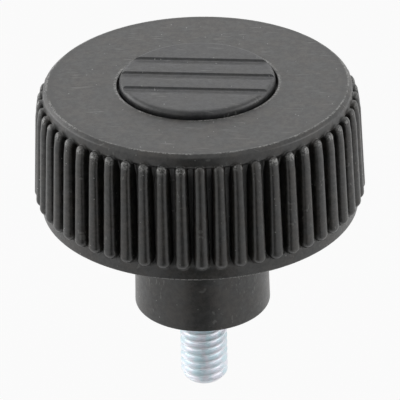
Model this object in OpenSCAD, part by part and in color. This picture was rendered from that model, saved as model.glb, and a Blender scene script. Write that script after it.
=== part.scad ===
// Knurled grip knob: a ribbed head on a round hub, a snap-in cap and a moulded-in threaded stud.
// Lengths are in millimetres. The origin is the centre of the hub's seating face. +Z runs up the
// knob's axis through the head, the stud points down -Z, and the first rib is on the +X side.

/* [Head] */
// Diameter across the ribs at their lower ends
grip_d = 40; // [36:0.5:50]
// Height of the head, from its lower edge to its top face
head_h = 16; // [13:0.5:24]
// How far the head's wall draws in from its lower to its upper edge, on the radius
head_taper = 0.8; // [0:0.05:1.5]
// Rounding of the head's upper edge
top_edge_r = 0.5; // [0.1:0.05:1]
// Rounding of the head's lower edge
low_edge_r = 0.15; // [0.1:0.05:0.8]

/* [Grip ribs] */
// Number of ribs round the head
rib_n = 54; // [24:1:60]
// Height of a rib's lower end over the wall
rib_h = 0.8; // [0.4:0.05:1.4]
// How far the ribs' crests draw in from their lower to their upper ends, on the radius
rib_taper = 0.65; // [0:0.05:1.2]
// Width of a rib at its lower end
rib_w_low = 1.75; // [0.8:0.05:1.8]
// Width of a rib at its upper end
rib_w_top = 1.25; // [0.7:0.05:1.7]
// Plain band between the ribs' upper ends and the head's rounded upper edge
top_band = 0.8; // [0.5:0.05:5]
// Plain band between the ribs' lower ends and the head's rounded lower edge
low_band = 1.4; // [0.5:0.05:4]
// Depth of the floors of the gaps between the ribs, below the wall of the plain bands
gap_sink = 0.9; // [0.2:0.05:1.2]
// How far in from the ribs' ends the floors of the gaps start to sink
gap_setback = 0.1; // [0.05:0.05:0.4]
// Height of the slope at the lower end of a gap
ramp_low = 0.8; // [0.4:0.1:1.5]
// Height of the slope at the upper end of a gap
ramp_top = 1.6; // [0.4:0.1:2.5]

/* [Hub] */
// Height of the hub, from its seating face to the head's lower edge
hub_h = 13.75; // [8:0.05:24]
// Diameter of the hub at its seating face
hub_d = 16.7; // [15:0.1:20]
// How far the hub draws in towards the head, on the radius
hub_taper = 0.35; // [0:0.05:0.6]
// Rounding of the hub's seating edge
hub_edge_r = 0.15; // [0.1:0.05:0.8]
// Depth of the relief round the stud in the seating face
relief_depth = 0.6; // [0.2:0.1:1.5]

/* [Underside] */
// Thickness of the skirt behind the floors of the gaps
skirt_wall = 1.5; // [1.2:0.1:2.7]
// Thickness left between the underside pockets and the top face
top_wall = 4.5; // [3.5:0.1:7]
// Rounding at the bottom of the underside pockets
pocket_r = 1; // [0.2:0.1:2]
// Number of webs between the hub and the skirt
web_n = 6; // [3:1:8]
// Thickness of a web
web_t = 1.8; // [1.2:0.1:3]
// Distance from the head's lower edge up to the webs
web_setback = 1.5; // [0:0.1:4]

/* [Top recess] */
// Diameter of the recess that takes the cap
recess_d = 19.15; // [17:0.05:23]
// Depth of the recess, from the top face to the ledge that the cap rests on
recess_depth = 1.4; // [1:0.1:2.4]
// Rounding of the recess's mouth
mouth_r = 0.2; // [0.05:0.05:0.5]
// Diameter of the socket that takes the cap's clip ring
socket_d = 12.4; // [10:0.1:13.5]
// Depth of the socket below the ledge
socket_depth = 3.2; // [3:0.1:5]

/* [Cap] */
// Height of the cap's flat over the top face
cap_stand = 0.9; // [0.3:0.05:2]
// Rounding of the cap's edge
cap_edge_r = 1.05; // [0.3:0.05:1.2]
// Thickness of the cap's disc
cap_wall = 1.6; // [1:0.1:2.2]
// Width of the lip that rests on the ledge
lip_w = 1.3; // [0.8:0.1:2.4]
// Number of grooves across the cap
groove_n = 3; // [1:1:5]
// Width of a groove
groove_w = 1.6; // [0.6:0.05:2.2]
// Width of the slope on each side of a groove
groove_bevel = 0.25; // [0:0.05:0.25]
// Depth of a groove
groove_depth = 0.32; // [0.1:0.02:0.8]
// Distance between neighbouring grooves
groove_pitch = 3.86; // [2.4:0.02:4.4]
// Turn of the pressed-in cap, from grooves that run along X
cap_turn = -2.5; // [-45:0.5:45]
// Wall of the clip ring
clip_wall = 1.1; // [0.8:0.1:1.6]
// Width of the slots that part the clip ring into legs
clip_slot = 2; // [1:0.1:3]
// Height of the bead round the clip ring
bead_h = 0.3; // [0.1:0.05:0.5]

/* [Stud] */
// Nominal diameter of the thread
stud_d = 6; // [5:0.5:8]
// Length of the stud below the hub
stud_l = 11.6; // [8:0.1:40]
// Length of the stud's chamfered end
tip_l = 1.2; // [0.5:0.1:2]
// Diameter of the stud's end face
tip_d = 3.6; // [2.5:0.1:4.8]
// Diameter of the plain shank inside the hub
shank_d = 5.35; // [4:0.05:7]
// Size across flats of the hexagon head moulded into the hub
hex_af = 10; // [9:0.5:11]
// Height of the hexagon head
hex_h = 4; // [3:0.5:6]
// Thickness of the hub between the hexagon head and the socket's floor
hex_cover = 2.6; // [1:0.1:4]

/* [Clearances] */
// Gap between the cap's rim and the recess
rim_gap = 0.27; // [0.1:0.01:0.5]
// Gap between the clip ring and the wall of its socket
clip_gap = 0.1; // [0.05:0.01:0.3]
// Gap under the clip ring's legs
leg_gap = 0.4; // [0.1:0.05:1]
// Gap round the stud in the seating face's relief
relief_gap = 0.5; // [0.2:0.05:1]

/* [Hidden] */
$fn = 96;

// How far a piece runs into the one it is fused with
overlap = 0.5;
// Height of the clip ring's plain end below its bead
bead_rise = 0.4;
// How far the ribs' flanks run into the floors of the gaps
root_sink = 0.2;

// Heights, counted from the hub's seating face
top_z = hub_h + head_h;
rib_low_z = hub_h + low_edge_r + low_band;
rib_top_z = top_z - top_edge_r - top_band;
gap_low_z = rib_low_z + gap_setback;
gap_top_z = rib_top_z - gap_setback;
pocket_z = top_z - top_wall;
ledge_z = top_z - recess_depth;
floor_z = ledge_z - socket_depth;
cap_z = top_z + cap_stand;
cap_under_z = cap_z - cap_wall;
leg_z = floor_z + leg_gap;
bead_z = leg_z + bead_rise + bead_h;
hex_z = floor_z - hex_cover - hex_h;

// Radii
crest_low_r = grip_d / 2;
crest_top_r = crest_low_r - rib_taper;
wall_low_r = crest_low_r - rib_h;
wall_top_r = wall_low_r - head_taper;
hub_r = hub_d / 2;
hub_top_r = hub_r - hub_taper;
recess_r = recess_d / 2;
socket_r = socket_d / 2;
cap_r = recess_r - rim_gap;
clip_r = socket_r - clip_gap;
stud_r = stud_d / 2;
shank_r = shank_d / 2;
hex_r = hex_af / sqrt(3);
relief_r = max(stud_r, shank_r) + relief_gap;

// Slope of the chamfer on the hexagon head, in degrees
hex_chamfer = 30;
// Facets round a rib in the preview
rib_facets = 16;

// Radius of the head's wall at height z, without its ribs and the gaps between them
function wall_r(z) = wall_low_r - head_taper * (z - hub_h) / head_h;
// Radius of the floors of the gaps at height z, and of the skirt's inner face
function gap_r(z) = wall_r(z) - gap_sink;
function skirt_r(z) = gap_r(z) - skirt_wall;

// Direction from point a to point b
function way(a, b) = (b - a) / norm(b - a);
// A corner as a plain point, from [x, y, rounding]
function spot(c) = [c[0], c[1]];
// The corners next to corner i of a closed outline
function before(c, i) = spot(c[(i + len(c) - 1) % len(c)]);
function after(c, i) = spot(c[(i + 1) % len(c)]);
// Half of the angle between the two edges that meet at corner i
function half_angle(c, i) =
    acos(way(spot(c[i]), before(c, i)) * way(spot(c[i]), after(c, i))) / 2;
// Centre of the arc that rounds corner i
function arc_centre(c, i) =
    let (both = way(spot(c[i]), before(c, i)) + way(spot(c[i]), after(c, i)))
    spot(c[i]) + both / norm(both) * c[i][2] / sin(half_angle(c, i));
// Distance from corner i to the ends of its arc
function arc_reach(c, i) = c[i][2] / tan(half_angle(c, i));
// Whether a counter-clockwise outline turns outwards at corner i
function is_outer(c, i) = cross(way(before(c, i), spot(c[i])), way(spot(c[i]), after(c, i))) > 0;

// Closed outline through the corners [x, y, rounding], listed counter-clockwise. Outer corners are
// rounded off and inner corners are filled, both with true arcs.
module soft_outline(corners) {
    rounded = [for (i = [0:len(corners) - 1]) if (corners[i][2] > 0) i];
    difference() {
        union() {
            polygon([for (i = [0:len(corners) - 1], to = [before(corners, i), after(corners, i)])
                spot(corners[i]) + way(spot(corners[i]), to) * arc_reach(corners, i)]);
            for (i = rounded)
                if (is_outer(corners, i)) translate(arc_centre(corners, i)) circle(r = corners[i][2]);
        }
        for (i = rounded)
            if (!is_outer(corners, i)) translate(arc_centre(corners, i)) circle(r = corners[i][2]);
    }
}

// Half section of the moulding: hub, skirt, underside pocket, recess, ledge and clip socket
module body_section() {
    soft_outline([
        [0, relief_depth, 0],
        [relief_r, relief_depth, 0],
        [relief_r, 0, 0],
        [hub_r, 0, hub_edge_r],
        [hub_top_r, hub_h, 0],
        [hub_top_r, pocket_z, pocket_r],
        [skirt_r(pocket_z), pocket_z, pocket_r],
        [skirt_r(hub_h), hub_h, 0],
        [wall_low_r, hub_h, low_edge_r],
        [wall_r(gap_low_z), gap_low_z, 0],
        [gap_r(gap_low_z + ramp_low), gap_low_z + ramp_low, 0],
        [gap_r(gap_top_z - ramp_top), gap_top_z - ramp_top, 0],
        [wall_r(gap_top_z), gap_top_z, 0],
        [wall_top_r, top_z, top_edge_r],
        [recess_r, top_z, mouth_r],
        [recess_r, ledge_z, 0],
        [socket_r, ledge_z, 0],
        [socket_r, bead_z + bead_h, 0],
        [socket_r + bead_h, bead_z, 0],
        [socket_r, bead_z - bead_h, 0],
        [socket_r, floor_z, 0],
        [0, floor_z, 0]
    ]);
}

// One grip rib on the +X side: a round crest on straight flanks, with round ends
module rib() {
    low = [crest_low_r - rib_w_low / 2, rib_low_z + rib_w_low / 2];
    top = [crest_top_r - rib_w_top / 2, rib_top_z - rib_w_top / 2];
    run = norm(top - low);
    lean = atan2(low[0] - top[0], top[1] - low[1]);
    height = max(rib_h, rib_h + head_taper - rib_taper) + gap_sink;
    translate([low[0], 0, low[1]]) rotate([0, -lean, 0]) {
        sphere(d = rib_w_low);
        cylinder(h = run, d1 = rib_w_low, d2 = rib_w_top);
        translate([0, 0, run]) sphere(d = rib_w_top);
        rotate([0, -90, 0]) linear_extrude(height - min(rib_w_low, rib_w_top) / 2 + root_sink) {
            circle(d = rib_w_low);
            polygon([
                [0, -rib_w_low / 2],
                [run, -rib_w_top / 2],
                [run, rib_w_top / 2],
                [0, rib_w_low / 2]
            ]);
            translate([run, 0]) circle(d = rib_w_top);
        }
    }
}

// One web on the +X side, between the hub and the skirt
module web() {
    low_z = hub_h + web_setback;
    inner = hub_top_r - overlap;
    outer = skirt_r(pocket_z) + overlap;
    translate([inner, -web_t / 2, low_z])
        cube([outer - inner, web_t, pocket_z + overlap - low_z]);
}

// The part of the stud that the hub encloses: plain shank and hexagon head with chamfered corners
module stud_core() {
    chamfer_h = (hex_r - hex_af / 2) * tan(hex_chamfer);
    cylinder(h = hex_z + overlap, r = shank_r);
    translate([0, 0, hex_z]) intersection() {
        cylinder(h = hex_h, r = hex_r, $fn = 6);
        union() {
            cylinder(h = hex_h - chamfer_h, r = hex_r);
            translate([0, 0, hex_h - chamfer_h]) cylinder(h = chamfer_h, r1 = hex_r, r2 = hex_af / 2);
        }
    }
}

module knob_body() {
    color("#2e2e2f") difference() {
        union() {
            rotate_extrude() body_section();
            for (i = [0:rib_n - 1]) rotate(i * 360 / rib_n) rib($fn = rib_facets);
            for (i = [0:web_n - 1]) rotate(i * 360 / web_n) web();
        }
        stud_core();
    }
}

// Section of what is cut away for a groove: a flat floor and sloped sides that run on above the cap
module groove_section() {
    floor_w = groove_w - 2 * groove_bevel;
    mouth_w = floor_w + 2 * groove_bevel * (1 + overlap / groove_depth);
    polygon([
        [-floor_w / 2, cap_z - groove_depth],
        [floor_w / 2, cap_z - groove_depth],
        [mouth_w / 2, cap_z + overlap],
        [-mouth_w / 2, cap_z + overlap]
    ]);
}

// Half section of the cap's disc, with the lip that rests on the ledge
module cap_section() {
    soft_outline([
        [0, cap_under_z, 0],
        [cap_r - lip_w, cap_under_z, 0],
        [cap_r - lip_w, ledge_z, 0],
        [cap_r, ledge_z, 0],
        [cap_r, cap_z, cap_edge_r],
        [0, cap_z, 0]
    ]);
}

// Half section of the clip ring, with its bead
module clip_section() {
    polygon([
        [clip_r - clip_wall, leg_z],
        [clip_r, leg_z],
        [clip_r, bead_z - bead_h],
        [clip_r + bead_h, bead_z],
        [clip_r, bead_z + bead_h],
        [clip_r, cap_under_z + overlap],
        [clip_r - clip_wall, cap_under_z + overlap]
    ]);
}

// Ring below the cap that snaps into the socket, parted into four legs
module clip_ring() {
    difference() {
        rotate_extrude() clip_section();
        for (turn = [0, 90]) rotate(turn)
            translate([-socket_r, -clip_slot / 2, floor_z])
                cube([2 * socket_r, clip_slot, cap_under_z - floor_z]);
    }
}

module cover_cap() {
    color("#353536") rotate(cap_turn) difference() {
        union() {
            rotate_extrude() cap_section();
            clip_ring();
        }
        for (i = [0:groove_n - 1])
            translate([-cap_r, (i - (groove_n - 1) / 2) * groove_pitch, 0])
                rotate([90, 0, 90]) linear_extrude(2 * cap_r) groove_section();
    }
}

module threaded_stud() {
    color("#c8d0d4") {
        stud_core();
        translate([0, 0, tip_l - stud_l]) cylinder(h = stud_l - tip_l, r = stud_r);
        translate([0, 0, -stud_l]) cylinder(h = tip_l, r1 = tip_d / 2, r2 = stud_r);
    }
}

knob_body();
cover_cap();
threaded_stud();
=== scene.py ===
"""Knurled grip knob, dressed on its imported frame: moulded body, snap-in cap and zinc-plated stud.

Each piece is a mesh built in millimetres from the model's own sizes, then scaled to metres.
"""

import math

import bmesh
import bpy
from mathutils import Matrix, Vector


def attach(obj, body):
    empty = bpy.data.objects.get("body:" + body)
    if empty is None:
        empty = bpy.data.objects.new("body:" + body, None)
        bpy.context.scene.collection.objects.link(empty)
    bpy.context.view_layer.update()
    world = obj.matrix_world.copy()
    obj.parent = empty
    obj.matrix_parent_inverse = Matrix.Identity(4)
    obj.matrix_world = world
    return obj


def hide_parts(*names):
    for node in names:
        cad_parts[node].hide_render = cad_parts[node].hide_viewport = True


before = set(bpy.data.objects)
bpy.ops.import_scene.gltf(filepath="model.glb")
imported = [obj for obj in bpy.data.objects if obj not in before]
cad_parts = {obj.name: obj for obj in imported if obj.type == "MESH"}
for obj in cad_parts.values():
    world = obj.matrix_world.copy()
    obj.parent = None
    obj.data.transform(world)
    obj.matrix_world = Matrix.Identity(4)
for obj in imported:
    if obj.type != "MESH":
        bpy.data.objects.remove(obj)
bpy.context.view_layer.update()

MM = 0.001

# ---------------------------------------------------------------- sizes, in millimetres

# Head
GRIP_R = 20.0
HEAD_H = 16.0
HEAD_TAPER = 0.8
TOP_EDGE_R = 0.5
# Bevel in place of the plain rounding: its height and width, and the rounding of its two edges
TOP_BEVEL_H = 0.4
TOP_BEVEL_W = 0.42
TOP_BEVEL_R = 0.35
TOP_CORNER_R = 0.12
LOW_EDGE_R = 0.15

# Grip ribs
RIB_N = 54
RIB_H = 0.8
RIB_TAPER = 0.65
RIB_W_LOW = 1.75
RIB_W_TOP = 1.25
TOP_BAND = 0.8
LOW_BAND = 1.4
GAP_SINK = 0.9
GAP_SETBACK = 0.1
RAMP_LOW = 0.8
RAMP_TOP = 1.0
# Fillet at the foot of a rib's flanks, at its lower and at its upper end
RIB_ROOT_LOW = 0.14
RIB_ROOT_TOP = 0.2
# Fillet round a rib's round lower end and round its upper end
RIB_ROOT_END_LOW = 0.3
RIB_ROOT_END_TOP = 0.04
# How far a rib's crest dips towards its upper end, and over which height
CREST_DIP = 0.3
CREST_DIP_H = 2.1
# 0 gives a rib's crest a half-round section, and more makes it flatter between rounder edges
CREST_FLATNESS = 0.2

# Hub
HUB_H = 13.75
HUB_R = 8.35
HUB_TAPER = 0.35
HUB_EDGE_R = 0.15
RELIEF_DEPTH = 0.6
RELIEF_R = 3.5
RELIEF_EDGE_R = 0.1

# Underside
SKIRT_WALL = 1.5
SKIRT_EDGE_R = 0.15
TOP_WALL = 4.5
POCKET_R = 1.0
WEB_N = 6
WEB_T = 1.8
WEB_SETBACK = 1.5
WEB_EDGE_R = 0.3
# How far a web's mesh reaches into the walls that it joins
WEB_OVERLAP = 0.3

# Recess and clip socket in the top face
RECESS_R = 9.575
RECESS_DEPTH = 1.4
MOUTH_R = 0.15
SOCKET_R = 6.2
SOCKET_DEPTH = 3.2
SOCKET_EDGE_R = 0.1
BEAD_H = 0.3

# Cap
CAP_R = 9.305
CAP_STAND = 0.9
CAP_EDGE_R = 0.7
CAP_LOW_EDGE_R = 0.1
CAP_WALL = 1.6
LIP_W = 1.3
GROOVE_N = 3
GROOVE_W = 1.6
GROOVE_BEVEL = 0.25
GROOVE_DEPTH = 0.32
GROOVE_PITCH = 3.86
GROOVE_EDGE_R = 0.2
GROOVE_FOOT_R = 0.4
# Turn of the pressed-in cap, in degrees, from grooves that run along X
CAP_TURN = -2.5
CLIP_GAP = 0.1
CLIP_WALL = 1.1
CLIP_SLOT = 2.0
LEG_N = 4
LEG_GAP = 0.4
LEG_END = 0.4
# How far a leg's mesh reaches into the cap's disc
LEG_OVERLAP = 0.3

# Stud
STUD_R = 3.0
STUD_L = 11.6
TIP_L = 1.2
TIP_R = 1.8
THREAD_PITCH = 1.0
SHANK_R = 2.675
HEX_AF = 10.0
HEX_H = 4.0
HEX_CHAMFER = math.radians(30)
HEX_CHAMFER_STEPS = 4
HEX_COVER = 2.6

# Heights and radii that follow from the sizes above
TOP_Z = HUB_H + HEAD_H
RIB_LOW_Z = HUB_H + LOW_EDGE_R + LOW_BAND
RIB_TOP_Z = TOP_Z - TOP_EDGE_R - TOP_BAND
POCKET_Z = TOP_Z - TOP_WALL
LEDGE_Z = TOP_Z - RECESS_DEPTH
SOCKET_Z = LEDGE_Z - SOCKET_DEPTH
CAP_Z = TOP_Z + CAP_STAND
CAP_UNDER_Z = CAP_Z - CAP_WALL
LEG_Z = SOCKET_Z + LEG_GAP
BEAD_Z = LEG_Z + LEG_END + BEAD_H
HEX_Z = SOCKET_Z - HEX_COVER - HEX_H
WALL_LOW_R = GRIP_R - RIB_H
WALL_TOP_R = WALL_LOW_R - HEAD_TAPER
HUB_TOP_R = HUB_R - HUB_TAPER

# ---------------------------------------------------------------- mesh tools

# Distance under which a piece's points are welded
WELD = 1e-4
# Angle between two faces, in degrees, over which the edge between them is shaded sharp
SHARP_ANGLE = 35


def arc(centre, radius, start, end, steps):
    """Points on an arc from start to end, in degrees, both ends included."""
    turns = [math.radians(start + (end - start) * i / steps) for i in range(steps + 1)]
    return [(centre[0] + radius * math.cos(t), centre[1] + radius * math.sin(t)) for t in turns]


def rounded(corners, steps=4):
    """Open outline through the corners (x, y, rounding), each rounding drawn as an arc."""
    outline = []
    for i, (x, y, radius) in enumerate(corners):
        here = Vector((x, y))
        if radius == 0 or i in (0, len(corners) - 1):
            outline.append((x, y))
            continue
        back = (Vector(corners[i - 1][:2]) - here).normalized()
        on = (Vector(corners[i + 1][:2]) - here).normalized()
        half = back.angle(on) / 2
        centre = here + (back + on).normalized() * radius / math.sin(half)
        first = here + back * radius / math.tan(half) - centre
        last = here + on * radius / math.tan(half) - centre
        start = math.degrees(math.atan2(first.y, first.x))
        sweep = math.degrees(math.atan2(first.cross(last), first.dot(last)))
        outline += arc(centre, radius, start, start + sweep, steps)
    return outline


def lathe(bm, outline, angles):
    """Turns the outline of (radius, z) points round the Z axis. A radius may be a function of the
    angle, and a radius of 0 gives one point on the axis."""
    rows = []
    for radius, z in outline:
        if radius == 0:
            rows.append([bm.verts.new((0, 0, z))] * len(angles))
            continue
        reach = radius if callable(radius) else lambda angle, r=radius: r
        rows.append([
            bm.verts.new((reach(a) * math.cos(a), reach(a) * math.sin(a), z)) for a in angles
        ])
    for low, high in zip(rows, rows[1:]):
        for i in range(len(angles)):
            j = (i + 1) % len(angles)
            corners = [low[i], low[j], high[j], high[i]]
            face = list(dict.fromkeys(corners))
            if len(face) > 2:
                bm.faces.new(face)


def grid(bm, rows, loop=False):
    """Faces between neighbouring rows of points."""
    verts = [[bm.verts.new(p) for p in row] for row in rows]
    count = len(verts[0])
    for low, high in zip(verts, verts[1:]):
        for i in range(count if loop else count - 1):
            bm.faces.new((low[i], low[(i + 1) % count], high[(i + 1) % count], high[i]))


def even_angles(count):
    """Angles of evenly spaced columns round the Z axis, in radians."""
    return [2 * math.pi * i / count for i in range(count)]


def new_object(name, data):
    """A new object that holds the data, linked to the scene."""
    made = bpy.data.objects.new(name, data)
    bpy.context.scene.collection.objects.link(made)
    return made


def new_mesh(bm, name):
    """A new mesh of the points and faces, which are used up."""
    mesh = bpy.data.meshes.new(name)
    bm.to_mesh(mesh)
    bm.free()
    return mesh


def finish_mesh(bm, name, material):
    """Welds the parts, scales them to metres, and shades them smooth with area-weighted normals."""
    bmesh.ops.remove_doubles(bm, verts=bm.verts, dist=WELD)
    bmesh.ops.recalc_face_normals(bm, faces=bm.faces)
    bmesh.ops.scale(bm, vec=(MM, MM, MM), verts=bm.verts)
    mesh = new_mesh(bm, name)
    mesh.materials.append(material)
    mesh.shade_smooth()
    mesh.set_sharp_from_angle(angle=math.radians(SHARP_ANGLE))
    piece = new_object(name, mesh)
    weighted = piece.modifiers.new("weighted normals", "WEIGHTED_NORMAL")
    weighted.keep_sharp = True
    return piece


# ---------------------------------------------------------------- knob body

# Angle from one rib to the next
PITCH = 2 * math.pi / RIB_N
# Columns of the head's mesh across one rib and its share of the wall
RIB_COLUMNS = 8
# Points on the side of a cell, beside each of the rib's round ends
RIB_STUB = 5
# Points along a rib's straight part
RIB_ROWS = 8
# Points up the fillet at a rib's foot, and from there to the crest
ROOT_STEPS = 3
DOME_STEPS = 7
# Rings of points on the wall between a cell's border, at 1, and the rib's foot, at 0
WALL_SHARES = (1.0, 0.7, 0.35, 0.1)
# Distance under which the points of a cell are welded
CELL_WELD = 1e-5
# Plain wall past a rib's round ends that belongs to its cell
CELL_MARGIN = 0.35
CELL_LOW_Z = RIB_LOW_Z - CELL_MARGIN
CELL_TOP_Z = RIB_TOP_Z + CELL_MARGIN


def cone_r(z):
    """Radius of the plain cone from the head's lower to its upper edge."""
    return WALL_LOW_R - HEAD_TAPER * (z - HUB_H) / HEAD_H


def skirt_r(z):
    """Radius of the skirt's inner face."""
    return cone_r(z) - GAP_SINK - SKIRT_WALL


def smooth_step(value):
    """0 up to a value of 0, 1 from a value of 1, and a smooth slope between them."""
    value = min(max(value, 0), 1)
    return value * value * (3 - 2 * value)


def wall_r(z):
    """Radius of the head's wall at height z, between its ribs. The floors of the gaps are sunk
    behind the plain bands above and below them."""
    low = smooth_step((z - RIB_LOW_Z - GAP_SETBACK) / RAMP_LOW)
    top = smooth_step((RIB_TOP_Z - GAP_SETBACK - z) / RAMP_TOP)
    return cone_r(z) - GAP_SINK * low * top


def head_angles():
    """Angles of the head's columns, which meet the borders of the rib cells."""
    steps = RIB_N * RIB_COLUMNS
    return [2 * math.pi * (i - RIB_COLUMNS / 2) / steps for i in range(steps)]


class Rib:
    """The rib on the +X side: a round crest on straight flanks, with round ends."""

    low_r = RIB_W_LOW / 2
    top_r = RIB_W_TOP / 2
    low_z = RIB_LOW_Z + low_r
    top_z = RIB_TOP_Z - top_r
    low_x = GRIP_R - low_r
    top_x = GRIP_R - RIB_TAPER - top_r

    @classmethod
    def spine(cls, share):
        """Centre line of the crest, as (x, z, half width), from the low to the upper end."""
        mix = lambda a, b: a + (b - a) * share
        return mix(cls.low_x, cls.top_x), mix(cls.low_z, cls.top_z), mix(cls.low_r, cls.top_r)

    @staticmethod
    def dip(z):
        """How far the crest lies under its straight line at height z."""
        return CREST_DIP * max(z - RIB_TOP_Z + CREST_DIP_H, 0) ** 2 / CREST_DIP_H ** 2


def rib_stations():
    """Stations round a rib: the share along its spine, the outward direction on the wall, and the
    place on the border of its cell as (share of half a pitch, z)."""
    side = [i / RIB_ROWS for i in range(RIB_ROWS + 1)]
    ends = RIB_COLUMNS + 2 * RIB_STUB
    stations = []
    for share in side:
        stations.append((share, (1, 0), (1, Rib.spine(share)[1])))
    for i in range(1, ends):
        turn = math.pi * i / ends
        border = border_place(i, Rib.top_z, CELL_TOP_Z)
        stations.append((1, (math.cos(turn), math.sin(turn)), border))
    for share in reversed(side):
        stations.append((share, (-1, 0), (-1, Rib.spine(share)[1])))
    for i in range(1, ends):
        turn = math.pi + math.pi * i / ends
        x, z = border_place(i, Rib.low_z, CELL_LOW_Z)
        stations.append((0, (math.cos(turn), math.sin(turn)), (-x, z)))
    return stations


def border_place(i, side_z, end_z):
    """Place i of a round end's points on the cell's border, from its +Y side over the end."""
    if i <= RIB_STUB:
        return 1, side_z + (end_z - side_z) * i / RIB_STUB
    if i >= RIB_STUB + RIB_COLUMNS:
        return -1, side_z + (end_z - side_z) * (2 * RIB_STUB + RIB_COLUMNS - i) / RIB_STUB
    return 1 - 2 * (i - RIB_STUB) / RIB_COLUMNS, end_z


def rib_section():
    """Half section of a rib as (kind, along, up): in over the wall, up the root, over the crest."""
    section = [("wall", share, 0) for share in WALL_SHARES]
    for x, y in arc((1, 1), 1, 270, 180, ROOT_STEPS):
        section.append(("root", x, y))
    for turn in range(DOME_STEPS + 1):
        section.append(("dome", math.pi / 2 * turn / DOME_STEPS, 0))
    return section


def cell_point(station, kind, along, up):
    """Point of the section on one station, in the rib's own frame."""
    share, (out_y, out_z), (border, border_z) = station
    x, z, half = Rib.spine(share)
    if kind == "dome":
        power = 2 / (2 + CREST_FLATNESS * out_y ** 2)
        reach = half * math.cos(along) ** power
        rise = half * math.sin(along) ** power
        z += reach * out_z
        return x + rise - Rib.dip(z) * rise / half, reach * out_y, z
    side_root = RIB_ROOT_LOW + (RIB_ROOT_TOP - RIB_ROOT_LOW) * share
    end_root = RIB_ROOT_END_LOW + (RIB_ROOT_END_TOP - RIB_ROOT_END_LOW) * share
    root = end_root + (side_root - end_root) * out_y ** 2
    reach = half + root * (along if kind == "root" else 1)
    y, z = reach * out_y, z + reach * out_z
    if kind == "wall":
        border_y = wall_r(border_z) * math.sin(border * PITCH / 2)
        y += (border_y - y) * along
        z += (border_z - z) * along
    return math.sqrt(wall_r(z) ** 2 - y ** 2) + up * root, y, z


def add_rib_cells(bm):
    """One cell of the head's wall with its rib, repeated round the head."""
    stations = rib_stations()
    rows = [[cell_point(s, *step) for s in stations] for step in rib_section()]
    cell = bmesh.new()
    grid(cell, rows, loop=True)
    bmesh.ops.remove_doubles(cell, verts=cell.verts, dist=CELL_WELD)
    mesh = new_mesh(cell, "rib cell")
    for i in range(RIB_N):
        mesh.transform(Matrix.Rotation(PITCH, 4, "Z"))
        bm.from_mesh(mesh)
    bpy.data.meshes.remove(mesh)


def hexagon_r(angle):
    """Distance from the axis to the hexagon head's flats in a direction."""
    side = (angle + math.pi / 6) % (math.pi / 3) - math.pi / 6
    return HEX_AF / 2 / math.cos(side - math.copysign(math.pi / 6, side))


def stud_core_outline():
    """Outline of the hexagon head, from the plain shank's upper end to the middle of its top."""
    corner_r = HEX_AF / math.sqrt(3)
    chamfer_h = (corner_r - HEX_AF / 2) * math.tan(HEX_CHAMFER)
    outline = [(SHANK_R, HEX_Z), (hexagon_r, HEX_Z), (hexagon_r, HEX_Z + HEX_H - chamfer_h)]
    for i in range(1, HEX_CHAMFER_STEPS + 1):
        share = i / HEX_CHAMFER_STEPS
        limit = corner_r - (corner_r - HEX_AF / 2) * share
        outline.append((
            lambda angle, most=limit: min(hexagon_r(angle), most),
            HEX_Z + HEX_H - chamfer_h * (1 - share),
        ))
    return outline + [(0, HEX_Z + HEX_H)]


def add_web(bm, turn):
    """One web between the hub and the skirt, with rounded lower edges."""
    inner = HUB_TOP_R - WEB_OVERLAP
    outer = skirt_r(POCKET_Z) + WEB_OVERLAP
    low = HUB_H + WEB_SETBACK
    top = POCKET_Z + WEB_OVERLAP
    half = WEB_T / 2
    section = rounded([
        (half, top, 0),
        (half, low, WEB_EDGE_R),
        (-half, low, WEB_EDGE_R),
        (-half, top, 0),
    ])
    spin = Matrix.Rotation(turn, 3, "Z")
    rings = [[spin @ Vector((x, y, z)) for y, z in section] for x in (inner, outer)]
    grid(bm, rings, loop=True)


def make_body(material):
    """The moulding as seen: head with ribs and recess, hub, underside and the bore of the stud."""
    bm = bmesh.new()
    lower = rounded([
        (RELIEF_R, RELIEF_DEPTH, 0),
        (RELIEF_R, 0, RELIEF_EDGE_R),
        (HUB_R, 0, HUB_EDGE_R),
        (HUB_TOP_R, HUB_H, 0),
        (HUB_TOP_R, POCKET_Z, POCKET_R),
        (skirt_r(POCKET_Z), POCKET_Z, POCKET_R),
        (skirt_r(HUB_H), HUB_H, SKIRT_EDGE_R),
        (WALL_LOW_R, HUB_H, LOW_EDGE_R),
        (wall_r(CELL_LOW_Z), CELL_LOW_Z, 0),
    ])
    upper = rounded([
        (wall_r(CELL_TOP_Z), CELL_TOP_Z, 0),
        (WALL_TOP_R, TOP_Z - TOP_BEVEL_H, TOP_BEVEL_R),
        (WALL_TOP_R - TOP_BEVEL_W, TOP_Z, TOP_CORNER_R),
        (RECESS_R, TOP_Z, MOUTH_R),
        (RECESS_R, LEDGE_Z, 0),
        (SOCKET_R, LEDGE_Z, SOCKET_EDGE_R),
        (SOCKET_R, BEAD_Z + BEAD_H, 0),
        (SOCKET_R + BEAD_H, BEAD_Z, 0),
        (SOCKET_R, BEAD_Z - BEAD_H, 0),
        (SOCKET_R, SOCKET_Z, 0),
        (0, SOCKET_Z, 0),
    ], steps=6)
    core = list(reversed(stud_core_outline())) + [(SHANK_R, RELIEF_DEPTH)]
    lathe(bm, core + lower, head_angles())
    lathe(bm, upper, head_angles())
    add_rib_cells(bm)
    for i in range(WEB_N):
        add_web(bm, 2 * math.pi * i / WEB_N)
    return finish_mesh(bm, "body_moulding", material)


# ---------------------------------------------------------------- cover cap

# Columns of the disc's mesh, and of one leg's
CAP_COLUMNS = 240
LEG_COLUMNS = 24
# Heights of a groove cutter's flared lips and of its top, over the cap's flat
CUTTER_LIP = 0.02
CUTTER_TOP = 0.5
# How far a groove cutter reaches past the cap's edge
CUTTER_REACH = 1


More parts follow.
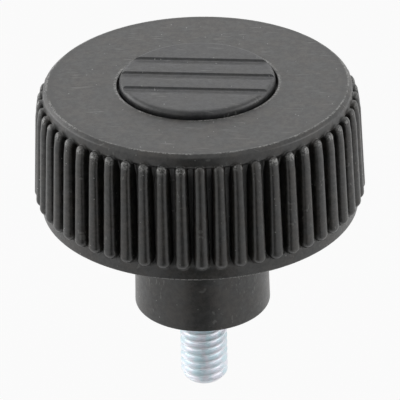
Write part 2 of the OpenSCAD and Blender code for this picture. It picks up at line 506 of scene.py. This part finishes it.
def groove_section():
    """Section of one groove cutter as (y, z): a flat floor, sloped sides and flared lips."""
    half = GROOVE_W / 2
    floor = CAP_Z - GROOVE_DEPTH
    side = rounded([
        (0, floor, 0),
        (half - GROOVE_BEVEL, floor, GROOVE_FOOT_R),
        (half, CAP_Z, GROOVE_EDGE_R),
        (half + GROOVE_BEVEL, CAP_Z + CUTTER_LIP, 0),
        (half + GROOVE_BEVEL, CAP_Z + CUTTER_TOP, 0),
    ])[1:]
    return side + [(-y, z) for y, z in reversed(side)]


def groove_cutter():
    """Closed bars that cut all the grooves, as one object."""
    bm = bmesh.new()
    reach = CAP_R + CUTTER_REACH
    for i in range(GROOVE_N):
        shift = (i - (GROOVE_N - 1) / 2) * GROOVE_PITCH
        section = [(y + shift, z) for y, z in groove_section()]
        ends = [[bm.verts.new((x, y, z)) for y, z in section] for x in (-reach, reach)]
        for j in range(len(section)):
            k = (j + 1) % len(section)
            bm.faces.new((ends[0][j], ends[0][k], ends[1][k], ends[1][j]))
        bm.faces.new(list(reversed(ends[0])))
        bm.faces.new(ends[1])
    bmesh.ops.recalc_face_normals(bm, faces=bm.faces)
    return new_object("groove cutter", new_mesh(bm, "groove cutter"))


def carve(piece_mesh, tool):
    """Mesh that is left when the tool, which is used up, is cut out of piece_mesh."""
    host = new_object("host", piece_mesh)
    cut = host.modifiers.new("cut", "BOOLEAN")
    cut.operation = "DIFFERENCE"
    cut.solver = "EXACT"
    cut.object = tool
    bpy.context.view_layer.update()
    evaluated = host.evaluated_get(bpy.context.evaluated_depsgraph_get())
    result = bpy.data.meshes.new_from_object(evaluated)
    bpy.data.objects.remove(host)
    bpy.data.objects.remove(tool)
    return result


def add_leg(bm, turn):
    """One leg of the clip ring, with its bead, between two slots."""
    out = SOCKET_R - CLIP_GAP
    top = CAP_UNDER_Z + LEG_OVERLAP
    section = [
        (out - CLIP_WALL, top),
        (out - CLIP_WALL, LEG_Z),
        (out, LEG_Z),
        (out, BEAD_Z - BEAD_H),
        (out + BEAD_H, BEAD_Z),
        (out, BEAD_Z + BEAD_H),
        (out, top),
    ]
    rings = []
    for i in range(LEG_COLUMNS + 1):
        ring = []
        for r, z in section:
            start = math.asin(CLIP_SLOT / 2 / r)
            a = turn + start + (2 * math.pi / LEG_N - 2 * start) * i / LEG_COLUMNS
            ring.append((r * math.cos(a), r * math.sin(a), z))
        rings.append(ring)
    grid(bm, rings, loop=True)
    for ring in (rings[0], rings[-1]):
        bm.faces.new([bm.verts.new(p) for p in ring])


def make_cap(material):
    """The cap: a grooved disc on the legs of its clip ring."""
    disc = bmesh.new()
    outline = rounded([
        (0, CAP_UNDER_Z, 0),
        (CAP_R - LIP_W, CAP_UNDER_Z, 0),
        (CAP_R - LIP_W, LEDGE_Z, 0),
        (CAP_R, LEDGE_Z, CAP_LOW_EDGE_R),
        (CAP_R, CAP_Z, CAP_EDGE_R),
        (0, CAP_Z, 0),
    ], steps=12)
    lathe(disc, outline, even_angles(CAP_COLUMNS))
    bmesh.ops.recalc_face_normals(disc, faces=disc.faces)
    bm = bmesh.new()
    bm.from_mesh(carve(new_mesh(disc, "cap blank"), groove_cutter()))
    for i in range(LEG_N):
        add_leg(bm, 2 * math.pi / LEG_N * i)
    turn = Matrix.Rotation(math.radians(CAP_TURN), 3, "Z")
    bmesh.ops.rotate(bm, cent=(0, 0, 0), matrix=turn, verts=bm.verts)
    return finish_mesh(bm, "cap_disc", material)


# ---------------------------------------------------------------- threaded stud

# Columns of the thread's mesh in one turn
THREAD_COLUMNS = 96
# Radius over the crests of a rolled thread, a little under its nominal radius
CREST_R = 2.93
ROOT_R = 2.36
# Steepness of a thread's flanks, which are 60 degrees apart
FLANK_SLOPE = 1 / math.tan(math.radians(30))
# Share of the pitch at which a straight flank would leave the crest, and shares of points on it
FLANK_START = 0.07
FLANK_SHARES = (0.11, 0.24, 0.37)
# Rounding beside the crest and beside the root, as (share of the pitch, height off them)
CREST_EDGE = (0.05, 0.008)
ROOT_EDGE = (0.43, 0.012)
# Where the crest in the first column lies, in pitches
THREAD_PHASE = 0.17
# Length under the seating face over which the thread runs out to the plain shank
RUN_OUT = 0.5
# Share of an elliptical crown in the shape of the chamfered end
TIP_CROWN = 0.4
# How far the mesh goes past the stud's ends, folded flat onto them, and how fast it draws in there
FOLD = 2.2
FOLD_SLOPE = 2
# How far the plain shank's mesh reaches down into the thread's
SHANK_SINK = 0.2


def thread_section():
    """One pitch of the thread as (share of the pitch, radius), from crest to crest."""
    half = [(0, CREST_R), (CREST_EDGE[0], CREST_R - CREST_EDGE[1])]
    for share in FLANK_SHARES:
        half.append((share, CREST_R - (share - FLANK_START) * THREAD_PITCH * FLANK_SLOPE))
    half += [(ROOT_EDGE[0], ROOT_R + ROOT_EDGE[1]), (0.5, ROOT_R)]
    return half + [(1 - share, radius) for share, radius in reversed(half[:-1])]


def thread_point(angle, z, radius):
    """Point of the thread, held inside the stud's chamfered end, its end face and its top."""
    end = -STUD_L
    share = min(max((z - end) / TIP_L, 0), 1)
    crown = math.sqrt(1 - (1 - share) ** 2)
    radius = min(radius, TIP_R + (STUD_R - TIP_R) * (share + TIP_CROWN * (crown - share)))
    run_out = min(max((z + RUN_OUT) / RUN_OUT, 0), 1)
    radius += (SHANK_R - radius) * run_out
    if z > 0:
        radius = max(SHANK_R - FOLD_SLOPE * z, 0)
    if z < end:
        radius = max(TIP_R - FOLD_SLOPE * (end - z), 0)
    z = min(max(z, end), 0)
    return radius * math.cos(angle), radius * math.sin(angle), z


def make_stud(material):
    """The stud: a right-hand thread below the seating face, and the shank and head in the hub."""
    section = thread_section()
    low = -STUD_L - FOLD
    steps = math.ceil((STUD_L + 2 * FOLD) / THREAD_PITCH * THREAD_COLUMNS)
    rows = []
    for i in range(steps + 1):
        angle = 2 * math.pi * i / THREAD_COLUMNS
        rise = low + THREAD_PITCH * (i / THREAD_COLUMNS + THREAD_PHASE)
        rows.append([thread_point(angle, rise + s * THREAD_PITCH, r) for s, r in section])
    bm = bmesh.new()
    grid(bm, rows)
    shank = [(0, -SHANK_SINK), (SHANK_R, -SHANK_SINK)]
    lathe(bm, shank + stud_core_outline(), even_angles(THREAD_COLUMNS))
    bmesh.ops.remove_doubles(bm, verts=bm.verts, dist=WELD)
    bmesh.ops.dissolve_degenerate(bm, dist=WELD, edges=bm.edges)
    return finish_mesh(bm, "stud_thread", material)


# ---------------------------------------------------------------- materials

# Noises are given as (waves per millimetre, detail, roughness), and a span is the range of values
# over which a smooth step goes from its first to its second result.

# Plastic: fine grain of the mould, with its span, the roughness over it, and its relief as
# (strength, depth in millimetres)
GRAIN = (4.5, 3, 0.65)
GRAIN_SPAN = (0.25, 0.75)
GRAIN_BUMP = (0.35, 0.05)
PLASTIC_ROUGHNESS = (0.3, 0.42)
PLASTIC_IOR = 1.58
# Patches of the darker and the lighter tone, and of the warmer and the cooler tint
MOTTLE = (1.3, 4, 0.75)
MOTTLE_SPAN = (0.36, 0.64)
HUE = (0.45, 2, 0.5)
HUE_SPAN = (0.38, 0.62)
# Tints as (warm, cool), of the darker and of the lighter tone
BODY_TINTS = (
    ((0.02, 0.018, 0.016), (0.018, 0.018, 0.017)),
    ((0.064, 0.059, 0.052), (0.058, 0.059, 0.057)),
)
CAP_TINTS = (
    ((0.022, 0.022, 0.022), (0.02, 0.021, 0.023)),
    ((0.054, 0.054, 0.054), (0.052, 0.053, 0.057)),
)
# Painted shade on the floors of the gaps between the ribs: the colour that they tend to, how far,
# and how thick a layer it covers
GAP_SHADE = (0.005, 0.005, 0.005)
GAP_SHADE_SHARE = 0.6
GAP_SHADE_H = 0.6
# Colour of specks, scuffs and worn edges; along the edge lines it is partly painted highlight
WORN_AND_HIGHLIGHT = (0.5, 0.5, 0.48)
# Specks: how close they lie, how wide they are, and which of them are left out
SPECK_SCALE = 1.3
SPECK_SPAN = (0.05, 0.13)
SPECK_CHOICE = (0.9, 0, 0.5)
SPECK_LEVEL = 0.6
# Scuffs: directions in degrees, strength, and how the noise that draws them is stretched
SCUFF_TURNS = (25, 100)
SCUFF_STRENGTH = 0.25
SCRATCH_SCALE = (0.35, 5.0, 1.0)
SCRATCH = (1.0, 1, 0.5)
SCRATCH_SPAN = (0.68, 0.72)
SCRATCH_PATCH = (0.3, 1, 0.5)
SCRATCH_PATCH_SPAN = (0.5, 0.6)
# Worn edges, whose pale lines are partly wear and partly painted highlight: where they are left
# out, how they break up, how they end, and how much smoother they are
WEAR_HIGHLIGHT_PATCH = (0.35, 3, 0.6)
WEAR_HIGHLIGHT_PATCH_SPAN = (0.38, 0.55)
WEAR_HIGHLIGHT_BREAK = (4.0, 2, 0.7)
WEAR_HIGHLIGHT_BREAK_SPAN = (0.42, 0.6)
WEAR_HIGHLIGHT_FADE = 0.05
WEAR_POLISH = 0.1
# The body's edge lines of wear and painted highlight, each as (radius, lowest z, highest z, half
# width): the head's upper edge, the mouth of its recess, its lower edge and the ribs' upper ends
BODY_WEAR_AND_HIGHLIGHTS = (
    (WALL_TOP_R - TOP_BEVEL_W - 0.03, TOP_Z - 0.1, TOP_Z, 0.17),
    (RECESS_R + MOUTH_R + 0.1, TOP_Z - 0.1, TOP_Z, 0.26),
    (WALL_LOW_R, HUB_H, HUB_H + 0.14, 0.2),
    (GRIP_R - RIB_TAPER - 0.2, RIB_TOP_Z - 0.5, RIB_TOP_Z - 0.15, 0.6),
)

# Zinc: tints of its patches, rolling marks with the roughness over them, and their relief
ZINC_CLOUD = (0.8, 3, 0.5)
ZINC_CLOUD_SPAN = (0.38, 0.62)
ZINC_TINTS = ((0.75, 0.88, 0.93), (0.91, 0.91, 0.97))
ZINC_MARKS = (6.0, 3, 0.6)
ZINC_MARKS_SPAN = (0.3, 0.7)
ZINC_BUMP = (0.2, 0.03)
ZINC_ROUGHNESS = (0.44, 0.54)
# The plating is partly diffuse
ZINC_METALLIC = 0.65
# Colour that the stud's cut end tends to, how far, and how high it reaches
ZINC_END = (0.3, 0.32, 0.36)
ZINC_END_SHARE = 0.7
ZINC_END_H = 0.3


def add_node(tree, kind, inputs=(), **settings):
    """A shader node with its settings. An input is a value or the socket that it is linked to."""
    made = tree.nodes.new("ShaderNode" + kind)
    for key, value in settings.items():
        setattr(made, key, value)
    for key, value in dict(inputs).items():
        if isinstance(value, bpy.types.NodeSocket):
            tree.links.new(value, made.inputs[key])
        else:
            made.inputs[key].default_value = value
    return made


def new_material(name):
    """A new material with its node tree and its shader."""
    material = bpy.data.materials.new(name)
    material.use_nodes = True
    tree = material.node_tree
    return material, tree, tree.nodes["Principled BSDF"]


def object_mm(tree):
    """Place on the object, in millimetres."""
    place = add_node(tree, "TexCoord").outputs["Object"]
    scaled = add_node(tree, "VectorMath", {0: place, "Scale": 1 / MM}, operation="SCALE")
    return scaled.outputs["Vector"]


def noise(tree, place, scale, detail, roughness):
    """Fractal noise from 0 to 1."""
    made = add_node(
        tree, "TexNoise",
        {"Vector": place, "Scale": scale, "Detail": detail, "Roughness": roughness},
    )
    return made.outputs["Fac"]


def ramp(tree, value, low, high, to_low=0.0, to_high=1.0):
    """Smooth step of the value from low to high, between two results."""
    made = add_node(
        tree, "MapRange",
        {"Value": value, "From Min": low, "From Max": high, "To Min": to_low, "To Max": to_high},
        interpolation_type="SMOOTHSTEP",
    )
    return made.outputs["Result"]


def calc(tree, operation, a, b=0.0):
    """Result of a mathematical operation on two numbers or sockets."""
    return add_node(tree, "Math", {0: a, 1: b}, operation=operation).outputs["Value"]


def mix_colour(tree, factor, a, b):
    """Colour between a and b."""
    made = add_node(tree, "Mix", {0: factor}, data_type="RGBA")
    for socket, value in ((made.inputs[6], a), (made.inputs[7], b)):
        if isinstance(value, bpy.types.NodeSocket):
            tree.links.new(value, socket)
        else:
            socket.default_value = (*value, 1)
    return made.outputs[2]


def product(tree, *factors):
    """All the factors multiplied."""
    result = factors[0]
    for factor in factors[1:]:
        result = calc(tree, "MULTIPLY", result, factor)
    return result


def near(tree, value, centre, half):
    """1 where the value is at the centre, down to 0 at half a width from it."""
    off = calc(tree, "ABSOLUTE", calc(tree, "SUBTRACT", value, centre))
    return ramp(tree, off, 0.0, half, 1.0, 0.0)


def cylinder_mm(tree, place):
    """Distance from the knob's axis, and height."""
    parts = add_node(tree, "SeparateXYZ", {"Vector": place}).outputs
    flat = add_node(tree, "CombineXYZ", {"X": parts["X"], "Y": parts["Y"]}).outputs["Vector"]
    reach = add_node(tree, "VectorMath", {0: flat}, operation="LENGTH").outputs["Value"]
    return reach, parts["Z"]


def patches(tree, place, wave, span):
    """Smooth step over a span of a noise's values, from 0 to 1."""
    return ramp(tree, noise(tree, place, *wave), *span)


def scratches(tree, place, turn):
    """Sparse short scratches along one direction."""
    turned = add_node(
        tree, "Mapping",
        {"Vector": place, "Rotation": (0, 0, math.radians(turn)), "Scale": SCRATCH_SCALE},
    ).outputs["Vector"]
    lines = patches(tree, turned, SCRATCH, SCRATCH_SPAN)
    return product(tree, lines, patches(tree, place, SCRATCH_PATCH, SCRATCH_PATCH_SPAN))


def edge_wear_and_highlights(tree, place, lines):
    """Broken pale lines along edges, partly wear and partly painted highlight, each given as
    (radius, lowest z, highest z, half width).
    """
    reach, height = cylinder_mm(tree, place)
    large = patches(tree, place, WEAR_HIGHLIGHT_PATCH, WEAR_HIGHLIGHT_PATCH_SPAN)
    small = patches(tree, place, WEAR_HIGHLIGHT_BREAK, WEAR_HIGHLIGHT_BREAK_SPAN)
    total = 0.0
    for radius, low, high, half in lines:
        above = ramp(tree, height, low - half, low)
        below = ramp(tree, height, high, high + WEAR_HIGHLIGHT_FADE, 1.0, 0.0)
        line = product(tree, near(tree, reach, radius, half), above, below)
        total = calc(tree, "MAXIMUM", total, line)
    return product(tree, total, large, small)


def gap_floor(tree, place):
    """Where the painted shade goes: 1 on the sunk floors of the gaps between the ribs, 0 on the
    rest.
    """
    reach, height = cylinder_mm(tree, place)
    slope = HEAD_TAPER / HEAD_H
    level = calc(tree, "ADD", reach, calc(tree, "MULTIPLY", height, slope))
    return near(tree, level, WALL_LOW_R + HUB_H * slope - GAP_SINK, GAP_SHADE_H)


def specks(tree, place):
    """1 on sparse small pale specks."""
    dots = add_node(tree, "TexVoronoi", {"Vector": place, "Scale": SPECK_SCALE}).outputs["Distance"]
    chosen = calc(tree, "GREATER_THAN", noise(tree, place, *SPECK_CHOICE), SPECK_LEVEL)
    return product(tree, ramp(tree, dots, *SPECK_SPAN, 1.0, 0.0), chosen)


def moulded_colour(tree, place, tints):
    """Mottled tone of the plastic, with painted shade on the floors of the gaps between the ribs.
    """
    hue = patches(tree, place, HUE, HUE_SPAN)
    dark, light = [mix_colour(tree, hue, warm, cool) for warm, cool in tints]
    colour = mix_colour(tree, patches(tree, place, MOTTLE, MOTTLE_SPAN), dark, light)
    # Painted shade on the floors of the gaps between the ribs
    shade = product(tree, gap_floor(tree, place), GAP_SHADE_SHARE)
    return mix_colour(tree, shade, colour, GAP_SHADE)


def add_bump(tree, shader, height, strength, depth):
    """Fine relief of a depth in millimetres."""
    bump = add_node(tree, "Bump", {"Height": height, "Strength": strength, "Distance": depth * MM})
    tree.links.new(bump.outputs["Normal"], shader.inputs["Normal"])


def plastic(name, tints, wear_and_highlight_lines=()):
    """Moulded black plastic: spark-eroded grain, mottled tone, specks, scuffs, edge lines of wear
    and painted highlight, and painted shade on the gap floors.
    """
    material, tree, shader = new_material(name)
    place = object_mm(tree)
    scuff = calc(tree, "MAXIMUM", *[scratches(tree, place, turn) for turn in SCUFF_TURNS])
    # Pale edge lines: partly wear, partly painted highlight on the edges
    wear_and_highlight = edge_wear_and_highlights(tree, place, wear_and_highlight_lines)
    marks = calc(tree, "MAXIMUM", specks(tree, place), wear_and_highlight)
    marks = calc(tree, "MAXIMUM", product(tree, scuff, SCUFF_STRENGTH), marks)
    colour = mix_colour(tree, marks, moulded_colour(tree, place, tints), WORN_AND_HIGHLIGHT)
    tree.links.new(colour, shader.inputs["Base Color"])
    grain = noise(tree, place, *GRAIN)
    rough = ramp(tree, grain, *GRAIN_SPAN, *PLASTIC_ROUGHNESS)
    rough = calc(tree, "SUBTRACT", rough, product(tree, wear_and_highlight, WEAR_POLISH))
    tree.links.new(rough, shader.inputs["Roughness"])
    add_bump(tree, shader, grain, *GRAIN_BUMP)
    shader.inputs["IOR"].default_value = PLASTIC_IOR
    return material


def zinc(name):
    """Bright zinc plating with a bluish passivation, fine rolling marks and duller patches."""
    material, tree, shader = new_material(name)
    place = object_mm(tree)
    colour = mix_colour(tree, patches(tree, place, ZINC_CLOUD, ZINC_CLOUD_SPAN), *ZINC_TINTS)
    end = near(tree, cylinder_mm(tree, place)[1], -STUD_L, ZINC_END_H)
    colour = mix_colour(tree, product(tree, end, ZINC_END_SHARE), colour, ZINC_END)
    tree.links.new(colour, shader.inputs["Base Color"])
    marks = noise(tree, place, *ZINC_MARKS)
    rough = ramp(tree, marks, *ZINC_MARKS_SPAN, *ZINC_ROUGHNESS)
    tree.links.new(rough, shader.inputs["Roughness"])
    add_bump(tree, shader, marks, *ZINC_BUMP)
    shader.inputs["Metallic"].default_value = ZINC_METALLIC
    return material


def add_piece(piece, slot, *nodes):
    """Gives a piece its body and hides the nodes that it stands for. The slot is not used."""
    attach(piece, "root")
    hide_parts(*nodes)


add_piece(make_body(plastic("body_plastic", BODY_TINTS, BODY_WEAR_AND_HIGHLIGHTS)), "body_plastic", "knob_body")
add_piece(make_cap(plastic("cap_plastic", CAP_TINTS)), "cap_plastic", "cover_cap")
add_piece(make_stud(zinc("stud_steel")), "stud_steel", "threaded_stud")

# ---------------------------------------------------------------- camera

# Distance from the centre of the hub's seating face, in millimetres, and angles in degrees
CAM_DISTANCE = 360.0
CAM_AZIMUTH = 3.3
CAM_ELEVATION = 29.3
CAM_ROLL = 1.455
CAM_LENS = 261.4
SENSOR = 36.0
# Nearest and farthest that the camera sees, in metres
CLIP_NEAR = 0.01
CLIP_FAR = 10.0
PHOTO_SIZE = 400
# Pixel of the photograph at which the centre of the hub's seating face lies
ORIGIN_PX = (202.74, 296.3)


def make_camera():
    """The camera at the photograph's viewing angle, with the object at its place in the frame."""
    a = math.radians(CAM_AZIMUTH)
    e = math.radians(CAM_ELEVATION)
    level_right = Vector((math.cos(a), math.sin(a), 0))
    ahead = Vector((-math.sin(a) * math.cos(e), math.cos(a) * math.cos(e), -math.sin(e)))
    level_up = level_right.cross(ahead)
    roll = math.radians(CAM_ROLL)
    right = level_right * math.cos(roll) - level_up * math.sin(roll)
    up = level_right * math.sin(roll) + level_up * math.cos(roll)
    focal_px = CAM_LENS / SENSOR * PHOTO_SIZE
    x = (ORIGIN_PX[0] - PHOTO_SIZE / 2) / focal_px
    y = (ORIGIN_PX[1] - PHOTO_SIZE / 2) / focal_px
    place = -(right * x - up * y + ahead) * CAM_DISTANCE
    camera = new_object("camera", bpy.data.cameras.new("camera"))
    camera.data.lens = CAM_LENS
    camera.data.sensor_width = SENSOR
    camera.data.clip_start = CLIP_NEAR
    camera.data.clip_end = CLIP_FAR
    turn = Matrix((right, up, -ahead)).transposed().to_4x4()
    camera.matrix_world = Matrix.Translation(place * MM) @ turn
    bpy.context.scene.camera = camera


# ---------------------------------------------------------------- light and floor

# Level of the light that the white surroundings throw on the object
AMBIENT = 0.12
# Area lamps as (name, azimuth, elevation, distance, width, height, radiance), in degrees and
# millimetres. Azimuth 0 is on the camera's side and 90 on the +X side.
SOFT_BOXES = (
    ("top_box", 180, 65, 400, 500, 400, 0.9),
    ("left_box", -100, 12, 700, 850, 500, 1.75),
    ("right_box", 85, 12, 700, 600, 500, 1.6),
)
# Floor: depth below the stud, length of a side, its tone in the object's light and its tone where
# it is seen directly, with the share of plain white that is mixed in there
FLOOR_DROP = 60.0
FLOOR_SIZE = 4000.0
FLOOR_TONE = 0.42
FLOOR_SEEN_TONE = 0.95
FLOOR_WHITE = 0.92
# Dark card: how far before the knob it starts and ends, the height of its upper edge, its half
# widths at both places, its lift off the floor and its tone
CARD_NEAR = 105.0
CARD_FAR = 420.0
CARD_H = 900.0
CARD_HALF_NEAR = 60.0
CARD_HALF_FAR = 82.0
CARD_LIFT = 1.0
CARD_TONE = 0.02


def new_matte(name):
    """A new material without gloss, with its node tree and its shader."""
    material, tree, shader = new_material(name)
    shader.inputs["Roughness"].default_value = 1
    shader.inputs["Specular IOR Level"].default_value = 0
    return material, tree, shader


def seen_directly(tree):
    """1 for the rays that show the background itself: camera, glossy and transmission rays."""
    path = add_node(tree, "LightPath").outputs
    seen = calc(tree, "MAXIMUM", path["Is Camera Ray"], path["Is Glossy Ray"])
    return calc(tree, "MAXIMUM", seen, path["Is Transmission Ray"])


def make_world():
    """White background, with a softer level for the light that it throws on the object."""
    world = bpy.data.worlds.new("studio")
    bpy.context.scene.world = world
    world.use_nodes = True
    tree = world.node_tree
    level = add_node(tree, "MapRange", {"Value": seen_directly(tree), "To Min": AMBIENT})
    background = tree.nodes["Background"]
    background.inputs["Color"].default_value = (1, 1, 1, 1)
    tree.links.new(level.outputs["Result"], background.inputs["Strength"])


def soft_box(name, azimuth, elevation, distance, width, height, radiance):
    """Rectangular area lamp aimed at the knob."""
    a, e = math.radians(azimuth), math.radians(elevation)
    away = Vector((math.sin(a) * math.cos(e), -math.cos(a) * math.cos(e), math.sin(e)))
    lamp = bpy.data.lights.new(name, "AREA")
    lamp.shape = "RECTANGLE"
    lamp.size = width * MM
    lamp.size_y = height * MM
    lamp.energy = radiance * math.pi * lamp.size * lamp.size_y
    turn = away.to_track_quat("Z", "Y").to_matrix().to_4x4()
    new_object(name, lamp).matrix_world = Matrix.Translation(away * distance * MM) @ turn


def mix_shader(tree, factor, a, b):
    """Shader between a and b."""
    return add_node(tree, "MixShader", {0: factor, 1: a, 2: b}).outputs["Shader"]


def make_floor():
    """Plain pale floor below the stud, seen from above only."""
    material, tree, shader = new_matte("floor")
    seen = seen_directly(tree)
    tone = mix_colour(tree, seen, (FLOOR_TONE,) * 3, (FLOOR_SEEN_TONE,) * 3)
    tree.links.new(tone, shader.inputs["Base Color"])
    white = add_node(tree, "Emission", {"Color": (1, 1, 1, 1), "Strength": 1.0})
    shown = product(tree, seen, FLOOR_WHITE)
    pale = mix_shader(tree, shown, shader.outputs["BSDF"], white.outputs["Emission"])
    clear = add_node(tree, "BsdfTransparent").outputs["BSDF"]
    below = add_node(tree, "NewGeometry").outputs["Backfacing"]
    both = mix_shader(tree, below, pale, clear)
    tree.links.new(both, tree.nodes["Material Output"].inputs["Surface"])
    bm = bmesh.new()
    half, z = FLOOR_SIZE / 2, -STUD_L - FLOOR_DROP
    corners = [(-half, -half, z), (half, -half, z), (half, half, z), (-half, half, z)]
    bm.faces.new([bm.verts.new(Vector(c) * MM) for c in corners])
    mesh = new_mesh(bm, "floor")
    mesh.materials.append(material)
    new_object("floor", mesh)


def make_card():
    """Dark card that the knob reflects: it lies before the knob, near the floor, then stands up."""
    material, _, shader = new_matte("front_card")
    shader.inputs["Base Color"].default_value = (CARD_TONE, CARD_TONE, CARD_TONE, 1)
    low = CARD_LIFT - STUD_L - FLOOR_DROP
    edge = [
        (CARD_HALF_NEAR, CARD_NEAR, low),
        (CARD_HALF_FAR, CARD_FAR, low),
        (CARD_HALF_FAR, CARD_FAR, CARD_H),
    ]
    bm = bmesh.new()
    grid(bm, [[(side * half, -y, z) for half, y, z in edge] for side in (-1, 1)])
    card = finish_mesh(bm, "front_card", material)
    card.visible_camera = False


make_camera()
make_card()
make_world()
for box in SOFT_BOXES:
    soft_box(*box)
make_floor()
bpy.context.scene.view_settings.view_transform = "Standard"
